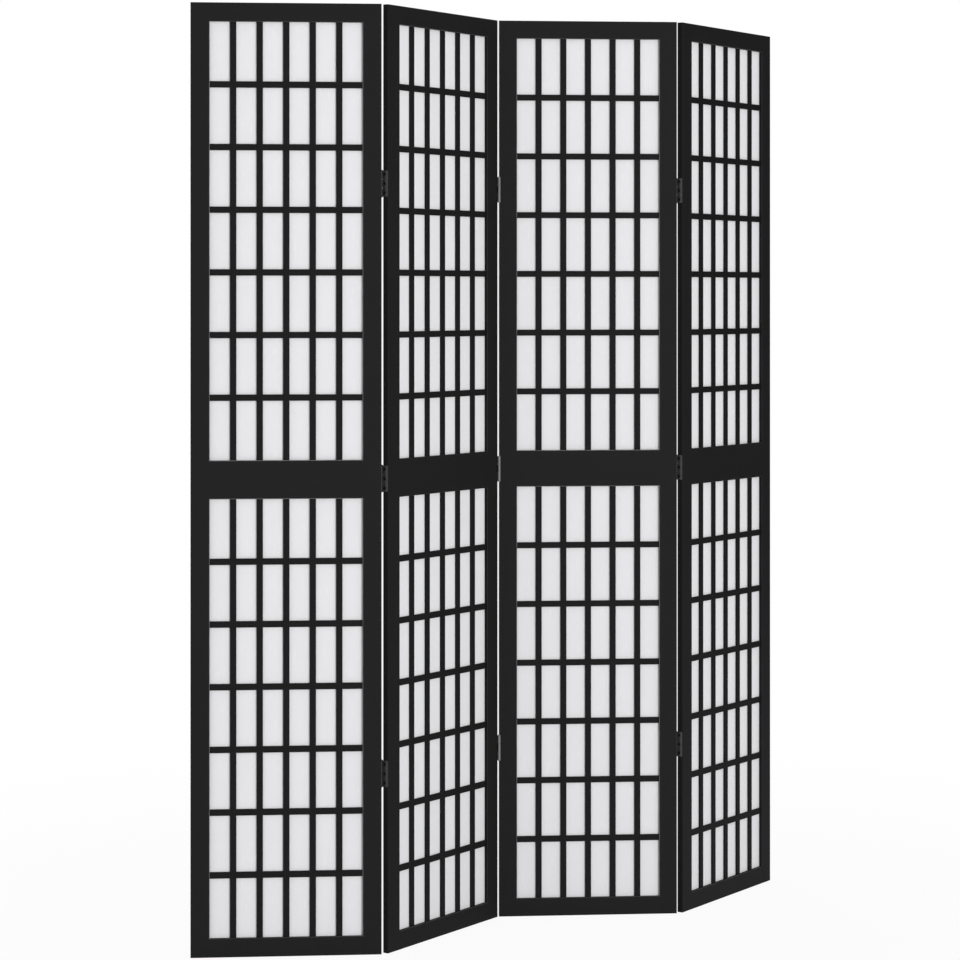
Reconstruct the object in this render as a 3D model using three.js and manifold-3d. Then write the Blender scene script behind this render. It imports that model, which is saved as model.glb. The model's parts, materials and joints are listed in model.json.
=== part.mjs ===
// A free-standing folding screen of four shoji panels, hinged to each other in a zigzag.
// Millimetres, +Z up. The screen runs along X and its front faces -Y.
// The origin is on the floor, at the centre of the standing screen's outline.

import * as THREE from 'three';
import { mergeVertices } from 'three/addons/utils/BufferGeometryUtils.js';
import Module from 'manifold-3d';

const wasm = await Module();
wasm.setup();

// Panels
const PANEL_COUNT = 4;
const PANEL_WIDTH = 360;
const PANEL_HEIGHT = 1800;
const PANEL_DEPTH = 13;
const FOLD_ANGLE = 50; // degrees from flat, at every fold, as the screen stands

// Frame members
const STILE_WIDTH = 36;
const TOP_RAIL_HEIGHT = 36;
const MIDDLE_RAIL_HEIGHT = 73;
const BOTTOM_RAIL_HEIGHT = 36;
const ARRIS = 0.8; // the chamfer that eases the edges
const TENON_LENGTH = 24;
const TENON_THICKNESS = 5;
const TENON_SHOULDER = 10; // from the rail's edges to its tenon
const JOINT_GAP = 0.3;
const MORTISE_END_GAP = 1;

// Rebate in the back of the frame round each opening, which leaves a lip in front
const LIP_THICKNESS = 2.8;
const REBATE_WIDTH = 8;

// Kumiko lattice with 6 by 7 openings, in a narrow border that the lip hides
const COLUMNS = 6;
const ROWS = 7;
const BAR_WIDTH = 12;
const BAR_DEPTH = 4.4;
const LATTICE_SEAT_GAP = 0.2; // between the lip and the lattice
const LATTICE_EDGE_GAP = 0.5; // between the border and the rebate's walls
const BORDER_SETBACK = 0.5; // of the border's inner edge, behind the lip's edge

// White pane, glued on the back of the lattice
const PANE_THICKNESS = 0.4;
const PANE_GAP = 0.3;

// Butt hinges, let into shallow gains in the end faces of the stiles
const HINGE_LENGTH = 50;
const HINGE_END_DISTANCE = 340; // from the panel's top or bottom to the hinge's middle
const KNUCKLE_COUNT = 3;
const KNUCKLE_GAP = 0.4;
const BARREL_RADIUS = 3;
const BARREL_CLEARANCE = 0.4;
const PIN_RADIUS = 1.5;
const PIN_CLEARANCE = 0.1;
const PIN_TIP_RADIUS = 2.4;
const PIN_TIP_HEIGHT = 1.2;
const LEAF_THICKNESS = 0.8;
const LEAF_MARGIN = 1.6; // from the leaf's free edge to the panel's far face
const LEAF_CORNER_RADIUS = 2.5;
const GAIN_DEPTH = 0.7; // of the recess that a leaf lies in
const GAIN_CLEARANCE = 0.3; // round the leaf's edges
const LEAF_SEAT_GAP = 0.2; // between a leaf and the bottom of its gain
const CLOSED_LEAF_GAP = 0.3; // between the two leaves of a flat screen
const SCREW_HOLE_RADIUS = 1.8;
const SCREW_INSET = 4; // from the panel's hinge-side face
const SCREW_SPACING = 18;

// Facets
const BARREL_SIDES = 12;
const PIN_SIDES = 6;
const SCREW_HOLE_SIDES = 6;
const LEAF_CORNER_STEPS = 1; // curve divisions, two facets each

// Worked out from the sizes above
const OPENING_LEFT = STILE_WIDTH;
const OPENING_RIGHT = PANEL_WIDTH - STILE_WIDTH;
const OPENING_HEIGHT =
  (PANEL_HEIGHT - TOP_RAIL_HEIGHT - MIDDLE_RAIL_HEIGHT - BOTTOM_RAIL_HEIGHT) / 2;
const LOWER_OPENING_BOTTOM = BOTTOM_RAIL_HEIGHT;
const UPPER_OPENING_BOTTOM = BOTTOM_RAIL_HEIGHT + OPENING_HEIGHT + MIDDLE_RAIL_HEIGHT;
const LATTICE_FRONT = LIP_THICKNESS + LATTICE_SEAT_GAP;
const LATTICE_BACK = LATTICE_FRONT + BAR_DEPTH;
const AXIS_TO_LEAF_BACK = CLOSED_LEAF_GAP / 2 + LEAF_THICKNESS;
const AXIS_TO_GAIN = AXIS_TO_LEAF_BACK + LEAF_SEAT_GAP;
const AXIS_TO_END_FACE = AXIS_TO_GAIN - GAIN_DEPTH;
const AXIS_TO_FACE = BARREL_RADIUS;
const LEAF_REACH = AXIS_TO_FACE + PANEL_DEPTH - LEAF_MARGIN;
const CUT_OVERRUN = 1;

const FINISHES = {
  blackPaint: { color: 0x1c1c1e, roughness: 0.45, metalness: 0 },
  shojiPaper: { color: 0xe8e9ea, roughness: 0.9, metalness: 0 },
  darkSteel: { color: 0x5c5b58, roughness: 0.4, metalness: 0.9 },
};

// Solids

function toSolid(geometry) {
  const bare = geometry.clone();
  bare.deleteAttribute('normal');
  bare.deleteAttribute('uv');
  const merged = mergeVertices(bare, 1e-4);
  return new wasm.Manifold(
    new wasm.Mesh({
      numProp: 3,
      vertProperties: new Float32Array(merged.attributes.position.array),
      triVerts: new Uint32Array(merged.index.array),
    }),
  );
}

function toGeometry(solid) {
  const mesh = solid.getMesh();
  const geometry = new THREE.BufferGeometry();
  geometry.setAttribute('position', new THREE.BufferAttribute(mesh.vertProperties, 3));
  geometry.setIndex(new THREE.BufferAttribute(mesh.triVerts, 1));
  return geometry;
}

function join(solids) {
  return solids.reduce((whole, next) => whole.add(next));
}

function cut(solid, tools) {
  return tools.reduce((rest, tool) => rest.subtract(tool), solid);
}

// A box is written as its lowest and highest x, y and z.
function boxGeometry({ x, y, z }) {
  const box = new THREE.BoxGeometry(x[1] - x[0], y[1] - y[0], z[1] - z[0]);
  return box.translate((x[0] + x[1]) / 2, (y[0] + y[1]) / 2, (z[0] + z[1]) / 2);
}

function boxSolid(box) {
  return toSolid(boxGeometry(box));
}

function grown({ x, y, z }, along) {
  const grow = (range, by) => [range[0] - by, range[1] + by];
  return { x: grow(x, along.x), y: grow(y, along.y), z: grow(z, along.z) };
}

// An upright round bar of the given radius, its axis on Z.
function roundSolid(radius, sides, low, high) {
  const bar = new THREE.CylinderGeometry(radius, radius, high - low, sides);
  return toSolid(bar.rotateX(Math.PI / 2).translate(0, 0, (low + high) / 2));
}

// The radius of a hole of flat facets that still clears a round bar.
function clearingRadius(barRadius, clearance, sides) {
  return (barRadius + clearance) / Math.cos(Math.PI / sides);
}

// An upright plate between two corners in X and Z. Its edges are chamfered at both faces,
// and depth is its whole thickness, from y = 0 towards the back.
function chamferedPlate(low, high, depth, chamfer) {
  const shape = new THREE.Shape();
  shape.moveTo(low.x + chamfer, low.z + chamfer);
  shape.lineTo(high.x - chamfer, low.z + chamfer);
  shape.lineTo(high.x - chamfer, high.z - chamfer);
  shape.lineTo(low.x + chamfer, high.z - chamfer);
  const plate = new THREE.ExtrudeGeometry(shape, {
    depth: depth - 2 * chamfer,
    bevelThickness: chamfer,
    bevelSize: chamfer,
    bevelSegments: 1,
  });
  return toSolid(plate.rotateX(Math.PI / 2).translate(0, depth - chamfer, 0));
}

// Frame members, before their rebates and mortises are cut

// Everything inside the panel's outline, which has its outer arrises eased.
function panelOutline() {
  const high = { x: PANEL_WIDTH, z: PANEL_HEIGHT };
  return chamferedPlate({ x: 0, z: 0 }, high, PANEL_DEPTH, ARRIS);
}

function stileBlank(left) {
  const box = { x: [left, left + STILE_WIDTH], y: [0, PANEL_DEPTH], z: [0, PANEL_HEIGHT] };
  return boxSolid(box).intersect(panelOutline());
}

function railBlank(bottom, height) {
  const x = [OPENING_LEFT + JOINT_GAP, OPENING_RIGHT - JOINT_GAP];
  const box = { x, y: [0, PANEL_DEPTH], z: [bottom, bottom + height] };
  return boxSolid(box).intersect(panelOutline());
}

// Both tenons of a rail are the ends of one box that runs through it.
function railTenons(bottom, height) {
  const front = (PANEL_DEPTH - TENON_THICKNESS) / 2;
  return {
    x: [OPENING_LEFT - TENON_LENGTH, OPENING_RIGHT + TENON_LENGTH],
    y: [front, front + TENON_THICKNESS],
    z: [bottom + TENON_SHOULDER, bottom + height - TENON_SHOULDER],
  };
}

function railMortises(bottom, height) {
  const room = { x: MORTISE_END_GAP, y: JOINT_GAP, z: JOINT_GAP };
  return boxSolid(grown(railTenons(bottom, height), room));
}

// An opening and the space round it

function openingBox(bottom, margin, depth) {
  return {
    x: [OPENING_LEFT - margin, OPENING_RIGHT + margin],
    y: depth,
    z: [bottom - margin, bottom + OPENING_HEIGHT + margin],
  };
}

function rebate(bottom) {
  return boxSolid(openingBox(bottom, REBATE_WIDTH, [LIP_THICKNESS, PANEL_DEPTH + CUT_OVERRUN]));
}

// A tool that eases the front arris of an opening: its back edges are the arris's chamfer.
function arrisCutter(bottom) {
  const { x, z } = openingBox(bottom, ARRIS, []);
  const low = { x: x[0], z: z[0] };
  const high = { x: x[1], z: z[1] };
  const depth = 4 * ARRIS;
  return chamferedPlate(low, high, depth, ARRIS).translate(0, ARRIS - depth, 0);
}

// Lattice: upright and level bars, flush where they cross, and the border that holds their ends

const LATTICE_DEPTH = [LATTICE_FRONT, LATTICE_BACK];
const LATTICE_MARGIN = REBATE_WIDTH - LATTICE_EDGE_GAP;
const COLUMN_WIDTH = (OPENING_RIGHT - OPENING_LEFT - (COLUMNS - 1) * BAR_WIDTH) / COLUMNS;
const ROW_PITCH = OPENING_HEIGHT / ROWS;

function uprightBar(index, bottom) {
  const left = OPENING_LEFT + COLUMN_WIDTH + index * (COLUMN_WIDTH + BAR_WIDTH);
  return { ...openingBox(bottom, BORDER_SETBACK, LATTICE_DEPTH), x: [left, left + BAR_WIDTH] };
}

function levelBar(index, bottom) {
  const middle = bottom + (index + 1) * ROW_PITCH;
  const z = [middle - BAR_WIDTH / 2, middle + BAR_WIDTH / 2];
  return { ...openingBox(bottom, BORDER_SETBACK, LATTICE_DEPTH), z };
}

function border(bottom) {
  const around = { x: 0, y: CUT_OVERRUN, z: 0 };
  const inside = grown(openingBox(bottom, BORDER_SETBACK, LATTICE_DEPTH), around);
  return boxSolid(openingBox(bottom, LATTICE_MARGIN, LATTICE_DEPTH)).subtract(boxSolid(inside));
}

function lattice(bottom) {
  const solids = [border(bottom)];
  for (let index = 0; index < COLUMNS - 1; index += 1) {
    solids.push(boxSolid(uprightBar(index, bottom)));
  }
  for (let index = 0; index < ROWS - 1; index += 1) {
    solids.push(boxSolid(levelBar(index, bottom)));
  }
  return toGeometry(join(solids));
}

function pane(bottom) {
  const front = LATTICE_BACK + PANE_GAP;
  return boxGeometry(openingBox(bottom, LATTICE_MARGIN, [front, front + PANE_THICKNESS]));
}

// Finished frame members

const OPENING_BOTTOMS = [LOWER_OPENING_BOTTOM, UPPER_OPENING_BOTTOM];
const RAILS = {
  top_rail: [PANEL_HEIGHT - TOP_RAIL_HEIGHT, TOP_RAIL_HEIGHT],
  middle_rail: [LOWER_OPENING_BOTTOM + OPENING_HEIGHT, MIDDLE_RAIL_HEIGHT],
  bottom_rail: [0, BOTTOM_RAIL_HEIGHT],
};

function openingCuts() {
  return OPENING_BOTTOMS.flatMap((bottom) => [rebate(bottom), arrisCutter(bottom)]);
}

function stileSolid(left) {
  const mortises = Object.values(RAILS).map((place) => railMortises(...place));
  return cut(stileBlank(left), [...mortises, ...openingCuts()]);
}

function rail([bottom, height]) {
  const whole = railBlank(bottom, height).add(boxSolid(railTenons(bottom, height)));
  return toGeometry(cut(whole, openingCuts()));
}

// Hinge leaves. The pin's axis is Z, and the panel lies towards -Y.
// side is -1 for the leaf at the left of the pin and 1 for the one at its right.

function knuckleSpan(index) {
  const length = (HINGE_LENGTH - (KNUCKLE_COUNT - 1) * KNUCKLE_GAP) / KNUCKLE_COUNT;
  const low = -HINGE_LENGTH / 2 + index * (length + KNUCKLE_GAP);
  return [low, low + length];
}

function knuckles(first) {
  const spans = [];
  for (let index = first; index < KNUCKLE_COUNT; index += 2) spans.push(knuckleSpan(index));
  return spans;
}

// A leaf's outline, or that of its gain, which stands off from it by the margin.
function leafOutline(margin) {
  const r = LEAF_CORNER_RADIUS + margin;
  const half = HINGE_LENGTH / 2 + margin;
  const reach = LEAF_REACH + margin;
  const shape = new THREE.Shape();
  shape.moveTo(0, -half);
  shape.lineTo(0, half);
  shape.absarc(-reach + r, half - r, r, Math.PI / 2, Math.PI);
  shape.absarc(-reach + r, -half + r, r, Math.PI, 1.5 * Math.PI);
  return shape;
}

// A flat outline, drawn in Y and Z, as a plate from low to high in X.
function plateAcross(shape, low, high) {
  const sheet = new THREE.ExtrudeGeometry(shape, { depth: high - low, bevelEnabled: false });
  const upright = new THREE.Matrix4().makeBasis(
    new THREE.Vector3(0, 1, 0),
    new THREE.Vector3(0, 0, 1),
    new THREE.Vector3(1, 0, 0),
  );
  return toSolid(sheet.applyMatrix4(upright).translate(low, 0, 0));
}

function screwHole(z) {
  const hole = new THREE.Path();
  hole.absarc(-AXIS_TO_FACE - SCREW_INSET, z, SCREW_HOLE_RADIUS, 0, 2 * Math.PI, true);
  return hole;
}

function leafPlate(side) {
  const holes = [-SCREW_SPACING, 0, SCREW_SPACING].map(screwHole);
  const plate = new THREE.Shape(leafOutline(0).getPoints(LEAF_CORNER_STEPS));
  plate.holes = holes.map((hole) => new THREE.Path(hole.getSpacedPoints(SCREW_HOLE_SIDES).slice(0, -1)));
  const lowX = side < 0 ? -AXIS_TO_LEAF_BACK : AXIS_TO_LEAF_BACK - LEAF_THICKNESS;
  return plateAcross(plate, lowX, lowX + LEAF_THICKNESS);
}

// The tool that cuts a leaf's gain, from the hinge's middle plane into the stile.
function gainCutter(side) {
  const outline = new THREE.Shape(leafOutline(GAIN_CLEARANCE).getPoints(LEAF_CORNER_STEPS));
  return side < 0 ? plateAcross(outline, -AXIS_TO_GAIN, 0) : plateAcross(outline, 0, AXIS_TO_GAIN);
}

function leafWithKnuckles(side, own, other) {
  const barrel = own.map(([low, high]) => roundSolid(BARREL_RADIUS, BARREL_SIDES, low, high));
  const room = clearingRadius(BARREL_RADIUS, BARREL_CLEARANCE, BARREL_SIDES);
  const notches = other.map(([low, high]) => {
    return roundSolid(room, BARREL_SIDES, low - KNUCKLE_GAP, high + KNUCKLE_GAP);
  });
  return join([cut(leafPlate(side), notches), ...barrel]);
}

function pinLeaf() {
  const half = HINGE_LENGTH / 2;
  const leaf = leafWithKnuckles(-1, knuckles(0), knuckles(1));
  const pin = roundSolid(PIN_RADIUS, PIN_SIDES, -half, half);
  const tips = [
    roundSolid(PIN_TIP_RADIUS, PIN_SIDES, half - CUT_OVERRUN, half + PIN_TIP_HEIGHT),
    roundSolid(PIN_TIP_RADIUS, PIN_SIDES, -half - PIN_TIP_HEIGHT, -half + CUT_OVERRUN),
  ];
  return toGeometry(join([leaf, pin, ...tips]));
}

function plainLeaf() {
  const reach = HINGE_LENGTH / 2 + CUT_OVERRUN;
  const boreRadius = clearingRadius(PIN_RADIUS, PIN_CLEARANCE, PIN_SIDES);
  const leaf = leafWithKnuckles(1, knuckles(1), knuckles(0));
  return toGeometry(leaf.subtract(roundSolid(boreRadius, PIN_SIDES, -reach, reach)));
}

// Assembly

function mesh(name, geometry, finish) {
  const part = new THREE.Mesh(geometry, new THREE.MeshStandardMaterial(FINISHES[finish]));
  part.name = name;
  return part;
}

const PLAIN_STILES = { left: stileSolid(0), right: stileSolid(OPENING_RIGHT) };
const PANEL_GEOMETRY = {
  top_rail: [rail(RAILS.top_rail), 'blackPaint'],
  middle_rail: [rail(RAILS.middle_rail), 'blackPaint'],
  bottom_rail: [rail(RAILS.bottom_rail), 'blackPaint'],
  upper_lattice: [lattice(UPPER_OPENING_BOTTOM), 'blackPaint'],
  lower_lattice: [lattice(LOWER_OPENING_BOTTOM), 'blackPaint'],
  upper_pane: [pane(UPPER_OPENING_BOTTOM), 'shojiPaper'],
  lower_pane: [pane(LOWER_OPENING_BOTTOM), 'shojiPaper'],
};
const LEAF_GEOMETRY = { pin_leaf: pinLeaf(), plain_leaf: plainLeaf() };
const HINGE_HEIGHTS = {
  top: PANEL_HEIGHT - HINGE_END_DISTANCE,
  middle: PANEL_HEIGHT / 2,
  bottom: HINGE_END_DISTANCE,
};

function panel(number) {
  const group = new THREE.Group();
  group.add(mesh(`panel_${number}_left_stile`, stile('left', number - 1), 'blackPaint'));
  group.add(mesh(`panel_${number}_right_stile`, stile('right', number), 'blackPaint'));
  for (const [piece, [geometry, finish]] of Object.entries(PANEL_GEOMETRY)) {
    group.add(mesh(`panel_${number}_${piece}`, geometry, finish));
  }
  return group;
}

// Odd folds have their pins behind the screen, and even folds in front of it.
function pinInFront(fold) {
  return fold % 2 === 0;
}

function pinY(fold) {
  return pinInFront(fold) ? -AXIS_TO_FACE : PANEL_DEPTH + AXIS_TO_FACE;
}

// The pin's place in the panel at the fold's left or right, seen from the front.
function pinInPanel(fold, panelIsLeft) {
  const x = panelIsLeft ? PANEL_WIDTH + AXIS_TO_END_FACE : -AXIS_TO_END_FACE;
  return new THREE.Vector3(x, pinY(fold), 0);
}

// A stile with the gains for the hinges of its fold, where it has one.
function stile(side, fold) {
  if (fold < 1 || fold >= PANEL_COUNT) return toGeometry(PLAIN_STILES[side]);
  const panelIsLeft = side === 'right';
  const turn = pinInFront(fold) ? 180 : 0;
  const cutter = gainCutter(panelIsLeft === pinInFront(fold) ? 1 : -1).rotate([0, 0, turn]);
  const pin = pinInPanel(fold, panelIsLeft);
  const gains = Object.values(HINGE_HEIGHTS).map((height) => cutter.translate(pin.x, pin.y, height));
  return toGeometry(cut(PLAIN_STILES[side], gains));
}

// In front, the whole hinge is turned half round, so its leaves change sides.
function addLeaves(group, fold, panelIsLeft) {
  const leaf = panelIsLeft === pinInFront(fold) ? 'plain_leaf' : 'pin_leaf';
  for (const [level, height] of Object.entries(HINGE_HEIGHTS)) {
    const name = `fold_${fold}_${level}_hinge_${leaf}`;
    const part = mesh(name, LEAF_GEOMETRY[leaf], 'darkSteel');
    part.position.copy(pinInPanel(fold, panelIsLeft)).setZ(height);
    part.rotation.z = pinInFront(fold) ? Math.PI : 0;
    group.add(part);
  }
}

function zigzag() {
  const screen = new THREE.Group();
  const pin = new THREE.Vector3();
  for (let number = 1; number <= PANEL_COUNT; number += 1) {
    const group = panel(number);
    const turn = number % 2 === 0 ? FOLD_ANGLE / 2 : -FOLD_ANGLE / 2;
    group.rotation.z = THREE.MathUtils.degToRad(turn);
    group.updateMatrix();
    if (number > 1) {
      const fold = number - 1;
      group.position.copy(pin).sub(pinInPanel(fold, false).applyEuler(group.rotation));
      addLeaves(group, fold, false);
    }
    if (number < PANEL_COUNT) {
      addLeaves(group, number, true);
      group.updateMatrix();
      pin.copy(pinInPanel(number, true)).applyMatrix4(group.matrix);
    }
    screen.add(group);
  }
  return screen;
}

function centredOnFloor(screen) {
  const middle = new THREE.Box3().setFromObject(screen, true).getCenter(new THREE.Vector3());
  screen.position.set(-middle.x, -middle.y, 0);
  return screen;
}

export default centredOnFloor(zigzag());
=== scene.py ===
# Looks for a free-standing shoji folding screen of four panels, hinged in a zigzag.
#
# Metres, +Z up. A panel's own frame has X across it, Y from its front to its back and Z up,
# with its origin at its lower front left corner. A hinge's own frame has its pin on Z, its
# middle at the origin, its leaves side by side across X and the panels towards -Y.
# Every piece is modelled in its panel's or its hinge's own frame and then placed in its mesh.

import json
import math

import bmesh
import bpy
from mathutils import Matrix, Vector

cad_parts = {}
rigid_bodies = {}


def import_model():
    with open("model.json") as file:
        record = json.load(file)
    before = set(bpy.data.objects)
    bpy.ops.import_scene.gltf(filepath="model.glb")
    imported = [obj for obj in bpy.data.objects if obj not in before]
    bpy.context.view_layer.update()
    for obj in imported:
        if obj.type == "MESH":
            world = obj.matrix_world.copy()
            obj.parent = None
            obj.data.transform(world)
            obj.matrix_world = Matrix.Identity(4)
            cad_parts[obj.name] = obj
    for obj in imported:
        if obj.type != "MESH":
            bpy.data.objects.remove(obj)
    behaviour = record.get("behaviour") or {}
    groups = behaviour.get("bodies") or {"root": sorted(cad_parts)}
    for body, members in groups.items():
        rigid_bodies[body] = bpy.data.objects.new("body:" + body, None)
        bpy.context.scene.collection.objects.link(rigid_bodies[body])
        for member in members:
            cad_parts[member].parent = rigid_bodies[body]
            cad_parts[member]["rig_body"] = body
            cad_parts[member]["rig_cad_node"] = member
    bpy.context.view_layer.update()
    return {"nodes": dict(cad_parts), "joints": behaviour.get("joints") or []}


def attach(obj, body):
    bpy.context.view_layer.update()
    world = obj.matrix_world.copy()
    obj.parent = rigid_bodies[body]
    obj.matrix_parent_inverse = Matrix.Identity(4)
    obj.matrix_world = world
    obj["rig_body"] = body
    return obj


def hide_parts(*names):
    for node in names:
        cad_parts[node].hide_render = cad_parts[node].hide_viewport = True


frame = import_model()

# Panels
PANEL_COUNT = 4
PANEL_WIDTH = 0.360
PANEL_HEIGHT = 1.800
PANEL_DEPTH = 0.013
TURN = math.radians(25)  # of each panel from the screen's length, one way and the other
STILE_WIDTH = 0.036
OPENING_WIDTH = PANEL_WIDTH - 2 * STILE_WIDTH
SHOULDER_GAP = 0.00030  # that the solids keep at each rail's shoulders
SHOULDER_SEAM = 0.00002  # that is left under the paint
ARRIS = 0.0008  # the chamfer that eases the edges
ARRIS_ROUNDING = 0.00028  # on both edges of each chamfered arris
REBATE_ROUNDING = 0.0003  # on the square edges in the back face
OUTLINE_HIGHLIGHT = 0.12  # painted highlight on the panel's outer arrises, where the strongest inner ones have 1
DIMMED_HIGHLIGHT = 0.08  # share of the painted highlight kept on some members of every second panel
BAR_HIGHLIGHT = 0.08  # painted highlight on the lattice's bars and strips
# painted highlight on each rail's arrises, strongest on the middle rail's
RAIL_HIGHLIGHT = {"top_rail": 0.32, "middle_rail": 1.0, "bottom_rail": 0.25}
CHAMFER_DEPTHS = (0, ARRIS, PANEL_DEPTH - ARRIS, PANEL_DEPTH)
JOINT_PLANES = [
    x
    for joint in (STILE_WIDTH, PANEL_WIDTH - STILE_WIDTH)
    for x in (joint - SHOULDER_SEAM, joint, joint + SHOULDER_SEAM)
]

# Kumiko lattice
COLUMNS = 6
ROWS = 7
BAR_WIDTH = 0.012
BAR_ARRIS = 0.0004
LAP_CLEARANCE = 0.00003
BORDER_WIDTH = 0.007
BORDER_ARRIS = 0.0003
COLUMN_PITCH = (OPENING_WIDTH + BAR_WIDTH) / COLUMNS

# Shoji paper
PAPER_GAP = 0.00005  # behind the lattice
PAPER_THICKNESS = 0.00022
PAPER_SLACK = 0.00012  # in the middle of each opening of the lattice
PAPER_CELLS = (48, 112)

# Hinges
HINGE_LENGTH = 0.050
KNUCKLE_COUNT = 3
KNUCKLE_GAP = 0.0004
KNUCKLE_ARRIS = 0.00025
BARREL_RADIUS = 0.003
BARREL_CLEARANCE = 0.0004
PIN_RADIUS = 0.0015
PIN_CLEARANCE = 0.0001
PIN_TIP_RADIUS = 0.0024
PIN_TIP_HEIGHT = 0.0012
PIN_TIP_ROUNDING = 0.0007
LEAF_THICKNESS = 0.0008
LEAF_MARGIN = 0.0016
LEAF_CORNER = 0.0025
LEAF_ARRIS = 0.00012
LEAF_PROUD = 0.0003  # of the stile's end face, which it is let into
LEAF_SEAT_GAP = 0.00003
GAIN_CLEARANCE = 0.00015
CLOSED_LEAF_GAP = 0.0003
AXIS_TO_END_FACE = CLOSED_LEAF_GAP / 2 + LEAF_PROUD
AXIS_TO_FACE = BARREL_RADIUS
LEAF_REACH = AXIS_TO_FACE + PANEL_DEPTH - LEAF_MARGIN
HINGE_HEIGHTS = {"top": 1.460, "middle": 0.900, "bottom": 0.340}

# Screws
SCREW_HOLE_RADIUS = 0.0018
SCREW_HEAD_RADIUS = 0.0029
SCREW_HEAD_CLEARANCE = 0.0001
SCREW_HEAD_SINK = 0.00005
SCREW_INSET = 0.004
SCREW_SPACING = 0.018
SCREW_HEIGHTS = (-SCREW_SPACING, 0, SCREW_SPACING)  # from the hinge's middle
SCREW_LINE = -AXIS_TO_FACE - SCREW_INSET  # the screws' place on Y in the hinge's own frame
FIRST_SCREW_TURN = 20  # degrees
SCREW_TURN_STEP = 47  # degrees from one screw to the next
SCREW_SHANK_RADIUS = 0.0013
SCREW_TIP_RADIUS = 0.0004
SCREW_LENGTH = 0.010
RECESS_REACH = 0.0017  # from the head's middle to the end of a slot
RECESS_WIDTH = 0.0006
RECESS_DEPTH = 0.00055

# Names, as the nodes have them
STILES = ("left_stile", "right_stile")
RAILS = ("top_rail", "middle_rail", "bottom_rail")
# members of every second panel whose painted arris highlight is fainter
DIMMED_MEMBERS = (*STILES, "middle_rail")
LEVELS = ("upper", "lower")

# Wood grain: from where in the wood each piece is cut
PANEL_GRAIN_STEP = Vector((0.41, 0.23, 2.9))  # from one panel to the next
MEMBER_GRAIN_STEP = 0.7
BAR_GRAIN_START = 0.9
BAR_GRAIN_STEP = 0.31
STRIP_GRAIN_START = 3.1

# Modelling
TINY = 1e-5  # places closer than this are the same
WELD = 1e-6  # vertices closer than this are merged
FLAT_ANGLE = 1  # degrees up to which two faces become one
ANGLE_SLACK = 5  # degrees by which an edge may differ from the angle looked for
SQUARE_NORMAL = 0.999  # a face is square to an axis where its normal has more than this on it
ROUNDING_SEGMENTS = 2
BAR_SEGMENTS = 3
KNUCKLE_SEGMENTS = 3
PIN_TIP_SEGMENTS = 4
LEAF_CORNER_SEGMENTS = 8
BARREL_SIDES = 48
PIN_SIDES = 32
SCREW_SIDES = 32
WOOD_SMOOTH_ANGLE = 50  # degrees up to which two faces are shaded as one
PAPER_SMOOTH_ANGLE = 40
STEEL_SMOOTH_ANGLE = 35


# Where panels and hinges stand


def joint_pin(fold):
    """The foot of a fold's pin axis."""
    joint = next(j for j in frame["joints"] if j["name"] == f"fold_{fold}")
    return Vector((joint["pos_m"][0], joint["pos_m"][1], 0))


def pin_in_front(fold):
    return fold % 2 == 0


def pin_in_panel(fold, panel_is_left, height=0.0):
    """A fold's pin in the own frame of the panel at its left or at its right."""
    x = PANEL_WIDTH + AXIS_TO_END_FACE if panel_is_left else -AXIS_TO_END_FACE
    y = -AXIS_TO_FACE if pin_in_front(fold) else PANEL_DEPTH + AXIS_TO_FACE
    return Vector((x, y, height))


def panel_place(number):
    """The matrix from a panel's own frame to the screen's."""
    turn = Matrix.Rotation(TURN if number % 2 == 0 else -TURN, 4, "Z")
    fold = max(number - 1, 1)
    corner = joint_pin(fold) - turn @ pin_in_panel(fold, number == 1)
    return Matrix.Translation(corner) @ turn


def leaf_place(fold, panel_is_left, height):
    """The matrix from a hinge's own frame to the screen's, for the leaf on one of its panels."""
    place = panel_place(fold if panel_is_left else fold + 1)
    place = place @ Matrix.Translation(pin_in_panel(fold, panel_is_left, height))
    return place @ Matrix.Rotation(math.pi, 4, "Z") if pin_in_front(fold) else place


def box_in_panel(node):
    """The lowest and highest corners of one of panel 1's CAD nodes, in the panel's own frame."""
    to_panel = panel_place(1).inverted()
    points = [to_panel @ v.co for v in frame["nodes"][f"panel_1_{node}"].data.vertices]
    low = Vector(min(p[i] for p in points) for i in range(3))
    high = Vector(max(p[i] for p in points) for i in range(3))
    return low, high


# Modelling steps


def deselect():
    bpy.ops.object.select_all(action="DESELECT")


def activate(piece):
    deselect()
    piece.select_set(True)
    bpy.context.view_layer.objects.active = piece


def settle(name):
    """Names the new primitive and puts its place, turn and scale into its mesh."""
    piece = bpy.context.object
    piece.name = name
    activate(piece)
    bpy.ops.object.transform_apply(location=True, rotation=True, scale=True)
    return piece


def add_box(name, low, high):
    deselect()
    low, high = Vector(low), Vector(high)
    bpy.ops.mesh.primitive_cube_add(size=1, location=(low + high) / 2, scale=high - low)
    return settle(name)


def add_rod(name, radius, low, high, sides=BARREL_SIDES):
    """An upright round bar round the Z axis."""
    deselect()
    bpy.ops.mesh.primitive_cylinder_add(
        radius=radius, depth=high - low, vertices=sides, location=(0, 0, (low + high) / 2)
    )
    return settle(name)


def add_cone(name, ends, radii, z):
    """A cone along X on the line of the screws, from the places of its ends and their radii."""
    deselect()
    (low, low_radius), (high, high_radius) = sorted(zip(ends, radii))
    bpy.ops.mesh.primitive_cone_add(
        radius1=low_radius,
        radius2=high_radius,
        depth=high - low,
        vertices=SCREW_SIDES,
        location=((low + high) / 2, SCREW_LINE, z),
        rotation=(0, math.pi / 2, 0),
    )
    return settle(name)


def edit(piece, mode):
    """Goes to edit mode with nothing selected."""
    activate(piece)
    bpy.ops.object.mode_set(mode="EDIT")
    bpy.ops.mesh.select_mode(type=mode)
    bpy.ops.mesh.select_all(action="DESELECT")


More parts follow.
